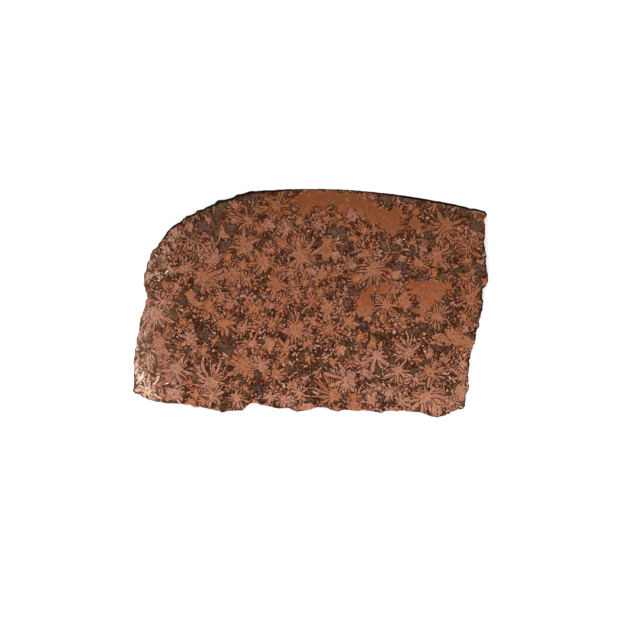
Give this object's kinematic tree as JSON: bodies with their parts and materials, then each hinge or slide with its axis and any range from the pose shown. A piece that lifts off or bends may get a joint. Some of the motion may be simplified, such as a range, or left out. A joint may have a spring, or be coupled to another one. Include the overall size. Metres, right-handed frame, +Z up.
{
  "type": "rhyolite slab",
  "caption": "Thin sawn plate of flower rhyolite with a polished patterned face, a smooth natural long edge and broken other edges, lying flat as a display or lapidary slab.",
  "frame": {"origin": "Middle of the slab's bounding box in plan, on the plane of its sawn back face, on which it lies.", "axes": "+X runs along the slab's length, to the right as the polished face is looked at; +Y points across it to the smooth natural edge; +Z is up, out of the polished face."},
  "size_m": [0.1416, 0.091, 0.0065],
  "materials": {
    "rhyolite": "Satin polish on the upper face over brown spherulitic flower rhyolite; sawn matt back; rough dark edges."
  },
  "bodies": {
    "root": {"rhyolite_slab": "rhyolite"}
  },
  "joints": []
}
